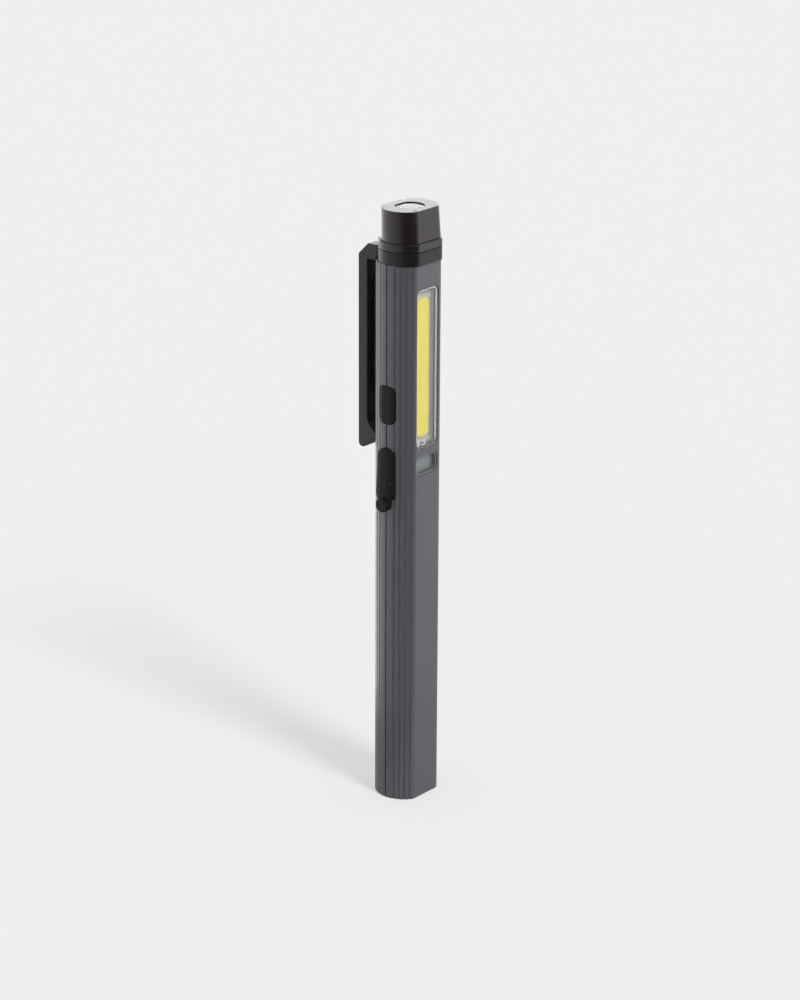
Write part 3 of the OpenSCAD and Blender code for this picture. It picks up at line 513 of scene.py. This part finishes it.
cap_rings = []
for z, t in ((cap_z, 0.1), (156.7, 0), (158.5, 0), (160.5, 0), (162.5, 0), (164.86, 0), (164.94, 0.02),
             (164.98, 0.06), (head_z, 0.12)):
    k = (z - cap_z) / (head_z - cap_z)
    w, d, at_y = cap_w - cap_w_draft * k, cap_d - cap_d_draft * k, cap_y + (torch_y - cap_y) * k
    cap_rings.append([(x, y, z) for x, y in head_section(w, d, t, at_y)])
angles = [math.atan2(y - torch_y, x) for x, y, _ in cap_rings[-1]]
for z, r in ((head_z, 4.3), (head_z, 4.0), (164.93, 3.93), (164.85, 3.9), (163.9, 3.9), (163.9, 4.4),
             (cap_z, 4.4)):
    cap_rings.append([(r * math.cos(a), r * math.sin(a) + torch_y, z) for a in angles])
cap = loft("cap", cap_rings, around=True)
placed(smoothed(cap, sharp=42), cap_plastic, "light_body", "black_plastic", "head_cap")


# The torch's lens: clear moulded plastic with a cone that gathers the light of the small chip
# below it. Its flange rests on a rubber seal in the cap.
def clear_moulding(name, tint, gloss=0.5):
    """A clear plastic of the given tint that lets light through, with the flow marks of its mould."""
    material = bpy.data.materials.new(name)
    material.use_nodes = True
    tree = material.node_tree
    shader = tree.nodes["Principled BSDF"]
    for key, value in (("Base Color", (*tint, 1)), ("Transmission Weight", 1.0), ("IOR", 1.46),
                       ("Roughness", 0.03), ("Specular IOR Level", gloss)):
        shader.inputs[key].default_value = value
    open_way = node_of(tree, "ShaderNodeBsdfTransparent", (100, -300), Color=(*tint, 1))
    light_path = node_of(tree, "ShaderNodeLightPath", (-200, 400))
    either = node_of(tree, "ShaderNodeMixShader", (350, 100))
    flow = node_of(tree, "ShaderNodeTexNoise", (-600, -200), Scale=260.0, Detail=2.0)
    flow_place = node_of(tree, "ShaderNodeTexCoord", (-800, -200))
    flow_relief = node_of(tree, "ShaderNodeBump", (-300, -200), Strength=0.12, Distance=0.02 * mm)
    tree.links.new(flow_place.outputs["Object"], flow.inputs["Vector"])
    tree.links.new(flow.outputs["Fac"], flow_relief.inputs["Height"])
    tree.links.new(flow_relief.outputs["Normal"], shader.inputs["Normal"])
    tree.links.new(light_path.outputs["Is Shadow Ray"], either.inputs["Fac"])
    tree.links.new(shader.outputs["BSDF"], either.inputs[1])
    tree.links.new(open_way.outputs["BSDF"], either.inputs[2])
    tree.links.new(either.outputs["Shader"], tree.nodes["Material Output"].inputs["Surface"])
    return material


torch_clear = clear_moulding("torch_clear", (0.5, 0.48, 0.49))
lens_steps = 72
lens_turns = [math.tau * i / lens_steps for i in range(lens_steps)]
lens_rings = []
for r, z in ((0.9, 160.25), (1.6, 160.3), (2.3, 161.4), (3.0, 162.7), (3.3, 162.85), (4.3, 162.85),
             (4.35, 162.9), (4.35, 163.5), (3.85, 163.55), (3.85, 164.6), (3.8, 164.7), (3.65, 164.75),
             (2.5, 164.78), (1.2, 164.8), (0.3, 164.8)):
    lens_rings.append([(r * math.cos(a), r * math.sin(a) + torch_y, z) for a in lens_turns])
placed(smoothed(loft("lens", lens_rings)), torch_clear, "light_body", "clear_plastic", "torch_lens")

# The clip: one black moulding with a chamfered shoulder and a pointed toe. It turns about a steel
# pin in the collar's lug, and a thin strip glued to its inner face covers a magnet.
arm_half_w = span("clip", 0)[1]
hook_y, arm_out = span("clip", 1)
tip_z, clip_top = span("clip", 2)
arm_in, shoulder, tip_r, toe_y = 10.0, 3.2, 1.3, 7.05
slot_half_w, slot_back, slot_foot, slot_top = 1.8, 9.67, 149, 153.5
magnet_w, magnet_r = middle("magnet_cover", 0)[1], 1.1
magnet_z, magnet_h = middle("magnet_cover", 2)
side_view = [(hook_y, clip_top), (arm_out - shoulder, clip_top), (arm_out, clip_top - shoulder)]
side_view += [(arm_out - tip_r + tip_r * math.cos(a), tip_z + tip_r + tip_r * math.sin(a))
              for a in (math.radians(-135 * i / 8) for i in range(9))]
side_view += [(toe_y, 101.8), (toe_y, 102.4), (9.35, 104.69), (arm_in, 106.1), (arm_in, 149.9),
              (7.1, 149.9), (7.1, 151.0), (hook_y, 151.0)]
clip = loft("pocket_clip", [[(x, y, z) for y, z in side_view] for x in (-arm_half_w, arm_half_w)])
slot_plan = ((-slot_half_w, 6), (slot_half_w, 6), (slot_half_w, slot_back), (-slot_half_w, slot_back))
cut_from(clip, [loft("slot", [[(x, y, z) for x, y in slot_plan] for z in (slot_foot, slot_top)])])
broken = clip.modifiers.new("broken_edges", "BEVEL")
broken.width, broken.segments = 0.22 * mm, 3
broken.limit_method, broken.angle_limit = "ANGLE", math.radians(30)
placed(smoothed(clip, sharp=50), black_plastic, "clip_arm", "black_plastic", "clip")

strip = loft("magnet_strip", [[(a, y, magnet_z + b)
                               for a, b in rounded(magnet_w - 2 * t, magnet_h - 2 * t, magnet_r - t)]
                              for y, t in ((10.3, 0), (9.52, 0), (9.43, 0.04), (9.4, 0.14))])
placed(smoothed(strip), black_plastic, "clip_arm", "black_plastic", "magnet_cover")


# The long window: a clear pane in the front wall, with a pale rim behind its edge and a black
# rubber seal further in. The rim's foot is painted near black: painted shade at the window's lower edge.
def window_loops(steps, z, h):
    """Loops of a window's shape with height h, each at depth y and drawn in by t."""
    return [[(window_x + a, y, z + b) for a, b in rounded(window_w - 2 * t, h - 2 * t, window_r - t)]
            for y, t in steps]


clear_plastic = clear_moulding("clear_plastic", (0.96, 0.965, 0.955), 0.15)
pane = loft("window_pane", window_loops([(-6.36, 0.07), (-6.64, 0.07), (-6.68, 0.11)], window_z, window_h))
placed(smoothed(pane), clear_plastic, "light_body", "clear_plastic", "light_window")

rim_drop, rim_more_h, rim_shade_z, rim_unshaded_z = 0.23, 0.5, 101.7, 102.9
rim_plastic = finish("rim_plastic", (0.60, 0.61, 0.60), (0.68, 0.69, 0.68), grain=0.3, patch=4,
                     rough=(0.1, 0.2), dust=0, bump=0.1, depth=0.01, Transmission_Weight=0.3)
tree = rim_plastic.node_tree
# The rim fades to near black towards its foot, as painted shade along the window's lower edge.
rim_place = node_of(tree, "ShaderNodeTexCoord", (-900, 300))
rim_height = node_of(tree, "ShaderNodeSeparateXYZ", (-700, 300))
rim_shade_fade = node_of(tree, "ShaderNodeMapRange", (-500, 300), From_Min=rim_shade_z * mm, From_Max=rim_unshaded_z * mm)
rim_color = node_of(tree, "ShaderNodeMix", (-280, 200), data_type="RGBA")
rim_color.inputs["A"].default_value = (0.03, 0.03, 0.029, 1)
tree.links.new(rim_place.outputs["Object"], rim_height.inputs["Vector"])
tree.links.new(rim_height.outputs["Z"], rim_shade_fade.inputs["Value"])
tree.links.new(rim_shade_fade.outputs["Result"], rim_color.inputs["Factor"])
tree.links.new(tree.nodes["Group"].outputs["Color"], rim_color.inputs["B"])
tree.links.new(rim_color.outputs["Result"], tree.nodes["Principled BSDF"].inputs["Base Color"])
rim = loft("window_rim", window_loops([(-6.34, 0.38), (-6.05, 0.38), (-6.05, 0.6), (-6.34, 0.6)],
                                      window_z - rim_drop, window_h + rim_more_h), around=True)
placed(smoothed(rim), rim_plastic, "light_body", "clear_plastic")

black_rubber = finish("black_rubber", (0.006, 0.006, 0.0052), (0.0085, 0.0085, 0.0073), grain=0.14, patch=5,
                      rough=(0.44, 0.54), dust=0.5, bump=0.45, depth=0.012, Specular_IOR_Level=0.12)
seal = loft("window_seal", window_loops([(-5.48, 0.0), (-4.95, 0.0), (-4.95, 0.14), (-5.48, 0.14)],
                                        window_z, window_h), around=True)
placed(smoothed(seal), black_rubber, "light_body", "black_rubber")

# The light strip: yellow phosphor cast over its chips, on a white board between two bars of solder
# mask. Below it are two solder joints, one in a ring of dark flux and one under a dab of old solder.
white_board = finish("white_board", (0.33, 0.335, 0.315), (0.46, 0.465, 0.435), grain=0.3, patch=1.6,
                     rough=(0.35, 0.5), dust=0, bump=0.3, depth=0.02)
phosphor = finish("phosphor", (0.625, 0.512, 0.018), (0.595, 0.484, 0.014), grain=0.35, patch=1.6,
                  rough=(0.55, 0.7), dust=0, bump=0.5, depth=0.05, Specular_IOR_Level=0.2)
solder = finish("solder", (0.72, 0.72, 0.73), (0.62, 0.62, 0.63), grain=0.3, patch=0.8, rough=(0.16, 0.3),
                dust=0, bump=0.2, depth=0.02, Metallic=1.0)
board_w, board_y = middle("strip_board", 0)[1], span("strip_board", 1)[0]
board_z, board_h = middle("strip_board", 2)
strip_w, strip_r = middle("phosphor_strip", 0)[1], 1.6
strip_z, strip_h = middle("phosphor_strip", 2)
bar_w, bar_h, bar_x = 1.5, 38.6, 3.25

board = loft("strip_plate", [[(a, y, board_z + b) for a, b in rounded(board_w - 2 * t, board_h - 2 * t, 0.3)]
                             for y, t in ((-3.55, 0), (-4.5, 0), (board_y, 0.05))])
placed(smoothed(board), white_board, "light_body", "white_board", "strip_board")
yellow = loft("yellow_strip", [[(a, y, strip_z + b)
                                for a, b in rounded(strip_w - 2 * t, strip_h - 2 * t, strip_r - t)]
                               for y, t in ((board_y, 0), (-4.85, 0.02), (-4.98, 0.12), (-5.04, 0.35),
                                            (-5.05, 0.5))])
placed(smoothed(yellow), phosphor, "light_body", "phosphor", "phosphor_strip")
mask_green = finish("mask_green", (0.198, 0.193, 0.16), (0.238, 0.232, 0.194), grain=0.3, patch=1.2,
                    rough=(0.35, 0.5), dust=0, bump=0.3, depth=0.02)
masks = [loft("mask", [[(x + a, y, strip_z + b) for a, b in rounded(bar_w - 2 * t, bar_h - 2 * t, 0.5)]
                       for y, t in ((board_y, 0), (-4.6, 0), (-4.62, 0.03))]) for x in (-bar_x, bar_x)]
placed(smoothed(joined(masks[0], masks[1:])), mask_green, "light_body", "white_board")


def round_loops(x, z, profile, steps, tall=1.0):
    """Round loops on the board at x and z, one for each radius and depth of the profile."""
    turns = [math.tau * i / steps for i in range(steps)]
    return [[(x + r * math.cos(a), y, z + tall * r * math.sin(a)) for a in turns] for r, y in profile]


pad_profile = ((0.55, board_y), (0.53, -4.65), (0.44, -4.77), (0.26, -4.84), (0.05, -4.86))
pads = [loft("pad", round_loops(x, z, pad_profile, 24)) for x, z in ((0.35, 100.5), (2.9, 100.95))]
placed(smoothed(joined(pads[0], pads[1:])), solder, "light_body", "solder", "strip_pads")
old_solder = finish("old_solder", (0.07, 0.07, 0.068), (0.11, 0.11, 0.107), grain=0.25, patch=0.8,
                    rough=(0.3, 0.45), dust=0, bump=0.4, depth=0.02)
dab_x, dab_z, dab_w, dab_h, dab_r = 2.72, 100.95, 2.1, 1.35, 0.66
dab = loft("solder_dab", [[(dab_x + a, y, dab_z + b)
                           for a, b in rounded(dab_w - 2 * t, dab_h - 2 * t, dab_r - t)]
                          for y, t in ((board_y, 0), (-4.75, 0.03), (-4.86, 0.12), (-4.9, 0.3))])
flux_profile = ((0.95, board_y), (0.93, -4.59), (0.82, -4.63), (0.5, -4.64))
flux = loft("flux", round_loops(0.2, 100.75, flux_profile, 32, tall=0.9))
placed(smoothed(joined(dab, [flux])), old_solder, "light_body", "solder")

# The small window: a grey-green diffuser sunk behind the front wall, inside a low grey rim. Its
# light guide runs back to the indicator lights on the main board.
diffuser = finish("smoked_plastic", (0.255, 0.262, 0.258), (0.31, 0.318, 0.312), grain=0.2, patch=2,
                  rough=(0.2, 0.3), dust=0, bump=0.15, depth=0.01, Transmission_Weight=0.35,
                  Subsurface_Weight=0.2)
rim_grey = finish("rim_grey", (0.115, 0.12, 0.12), (0.14, 0.146, 0.146), grain=0.2, patch=3,
                  rough=(0.25, 0.35), dust=0, bump=0.2, depth=0.01)
small = loft("small_window", window_loops([(-4.65, -0.22), (-5.45, -0.22), (-5.45, 0.95)], small_z, small_h))
small_rim = loft("small_rim", window_loops([(-5.45, 0.02), (-6.46, 0.02), (-6.52, 0.08), (-6.52, 0.4),
                                            (-6.46, 0.48), (-5.45, 0.58)], small_z, small_h), around=True)
placed(smoothed(small_rim), rim_grey, "light_body", "smoked_plastic")
guide_plan = ((0.9, 93.95), (4.1, 93.95), (4.1, 97.95), (0.9, 97.95))
guide = loft("guide", [[(x, y, z) for x, z in guide_plan] for y in (-4.66, 1.08)])
placed(smoothed(joined(small, [guide])), diffuser, "light_body", "smoked_plastic", "indicator_window")

# The power button: a soft black skin in an opening of the seam, crowned like the side it sits in.
# A flange keeps it behind the wall, and a stem meets the switch's plunger.
skin_inset, skin_proud, button_back_x = 0.22, 0.12, -7.4
flange_w, stem_r, stem_steps = middle("power_button", 1)[1], 1.1, 32


def side_x(y, proud):
    """The side's place at depth y, moved outwards by proud."""
    return -(body_x + math.sqrt((body_r + proud) ** 2 - y * y))


def side_loops(z, profile, steps):
    """Round loops on the left side at height z, one for each radius and x of the profile."""
    turns = [math.tau * i / steps for i in range(steps)]
    return [[(x, r * math.cos(a), z + r * math.sin(a)) for a in turns] for r, x in profile]


button_back = rounded(button_w - 2 * skin_inset, button_h - 2 * skin_inset, button_r - skin_inset)
button_rings = [[(button_back_x, a, button_z + b) for a, b in button_back]]
for t, proud in ((skin_inset, -0.3), (skin_inset, -0.02), (0.25, 0.05), (0.33, 0.1), (0.45, skin_proud),
                 (0.8, skin_proud), (1.2, skin_proud), (1.6, skin_proud), (1.85, skin_proud)):
    button_rings.append([(side_x(a, proud), a, button_z + b) for a, b in
                         rounded(button_w - 2 * t, button_h - 2 * t, max(button_r - t, 0.1))])
button_flange = loft("flange", [[(side_x(a, -sunk), a, button_z + b)
                                 for a, b in rounded(flange_w, flange_h, button_r)] for sunk in (1.4, 2.1)])
stem = loft("stem", side_loops(button_z, ((stem_r, -7.3), (stem_r, -6.0)), stem_steps))
button = joined(loft("button_skin", button_rings), [button_flange, stem])
placed(smoothed(button, sharp=50), black_rubber, "button", "black_rubber", "power_button")

# The port cover: a soft rubber flap with round ends that stands further out towards its foot, with
# three low grip ridges. It ends in a round pull tab, and a plug behind it fits the socket.
top_proud, foot_more, cover_inset, cover_back_x = 0.85, 0.75, 0.05, -8.0
tab_r, plug_w, plug_h, ridge_w, ridge_h = 1.95, 2.0, 7.0, 3.0, 0.6
tab_z = span("port_cover", 2)[0] + tab_r


def cover_x(y, z, proud):
    """The flap's outer face at depth y and height z, moved outwards by proud."""
    below_top = (port_z + cover_h / 2 - z) / cover_h
    return -(body_x + math.sqrt(max(body_r ** 2 - y * y, 0)) + top_proud + foot_more * below_top + proud)


cover_back = rounded(cover_w - 2 * cover_inset, cover_h - 2 * cover_inset, cover_r - cover_inset, 12)
cover_rings = [[(cover_back_x, a, port_z + b) for a, b in cover_back]]
for t, proud in ((0, -0.4), (0.02, -0.2), (0.1, -0.08), (0.22, -0.02), (0.38, 0), (0.9, 0), (1.5, 0),
                 (2.1, 0)):
    cover_rings.append([(min(cover_x(a, port_z + b, proud), cover_back_x - 0.05), a, port_z + b) for a, b in
                        rounded(cover_w - 2 * t, cover_h - 2 * t, max(cover_r - t, 0.1), 12)])
tab_profile = ((tab_r, -9.0), (tab_r, -10.7), (1.92, -10.86), (1.83, -10.97), (1.68, -11.03), (1.4, -11.05),
               (0.5, -11.05))
tab = loft("tab", side_loops(tab_z, tab_profile, 48))
plug = loft("plug", [[(x, a, port_z + b) for a, b in rounded(plug_w, plug_h, 0.5)] for x in (-8.1, -6.5)])
ridges = []
for z in (port_z - 1.5, port_z, port_z + 1.5):
    ridges.append(loft("ridge", [[(cover_x(a, z, proud), a, z + b)
                                  for a, b in rounded(ridge_w - 2 * t, ridge_h - 2 * t, ridge_h / 2 - t)]
                                 for t, proud in ((0, -0.3), (0, 0.02), (0.06, 0.1), (0.16, 0.13))]))
cover = joined(loft("port_flap", cover_rings), [tab, plug] + ridges)
placed(smoothed(cover, sharp=50), black_rubber, "cover", "black_rubber", "port_cover")

# The parts inside: turned and pressed metal, boards, chips, cell, leads and foam. They keep the
# shapes of the frame's own solids and take the finish of what they are made of.
steel = finish("steel", (0.6, 0.6, 0.6), (0.5, 0.5, 0.5), grain=0.1, patch=3, rough=(0.2, 0.32),
               dust=0, bump=0.2, depth=0.005, Metallic=1.0)
brass = finish("brass_pins", (0.75, 0.6, 0.3), (0.65, 0.5, 0.25), grain=0.1, patch=2, rough=(0.2, 0.3),
               dust=0, bump=0.2, depth=0.005, Metallic=1.0)
magnet_skin = finish("magnet_skin", (0.35, 0.35, 0.36), (0.28, 0.28, 0.29), grain=0.1, patch=3,
                     rough=(0.25, 0.4), dust=0, bump=0.2, depth=0.005, Metallic=1.0)
white_plastic = finish("white_plastic", (0.68, 0.68, 0.66), (0.75, 0.75, 0.73), grain=0.15, patch=5,
                       rough=(0.35, 0.45), dust=0.1, bump=0.25, depth=0.01)
green_board = finish("green_board", (0.012, 0.09, 0.04), (0.02, 0.13, 0.06), grain=0.4, patch=1.5,
                     rough=(0.25, 0.4), dust=0, bump=0.4, depth=0.02)
chip_black = finish("chip_black", (0.02, 0.02, 0.021), (0.03, 0.03, 0.03), grain=0.08, patch=1,
                    rough=(0.45, 0.6), dust=0, bump=0.4, depth=0.006)
cell_sleeve = finish("cell_sleeve", (0.05, 0.16, 0.08), (0.06, 0.2, 0.1), grain=0.5, patch=6,
                     rough=(0.2, 0.3), dust=0, bump=0.2, depth=0.01)
lead_skin = finish("lead_insulation", (0.45, 0.02, 0.02), (0.36, 0.015, 0.015), grain=0.2, patch=2,
                   rough=(0.3, 0.45), dust=0, bump=0.3, depth=0.01)
foam = finish("foam", (0.03, 0.03, 0.03), (0.05, 0.05, 0.05), grain=0.25, patch=1,
              rough=(0.8, 0.95), dust=0, bump=0.8, depth=0.06)
for material, nodes in (
        (steel, ["clip_pin", "board_screws", "cell_tabs", "port_shell"]), (brass, ["board_pins"]),
        (magnet_skin, ["clip_magnet"]), (solder, ["lead_joints"]), (green_board, ["main_board"]),
        (white_plastic, ["torch_spacer", "indicator_lights", "switch_plunger"]),
        (mask_green, ["window_frame"]), (white_board, ["torch_board"]), (phosphor, ["torch_led"]),
        (chip_black, ["board_chips", "switch_body"]), (black_plastic, ["port_tongue"]),
        (black_rubber, ["lens_gasket", "cover_anchor"]), (cell_sleeve, ["battery_cell"]),
        (lead_skin, ["torch_leads", "battery_leads"]), (foam, ["cell_pad"])):
    for node in nodes:
        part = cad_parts[node]
        part.data.materials.clear()
        part.data.materials.append(material)
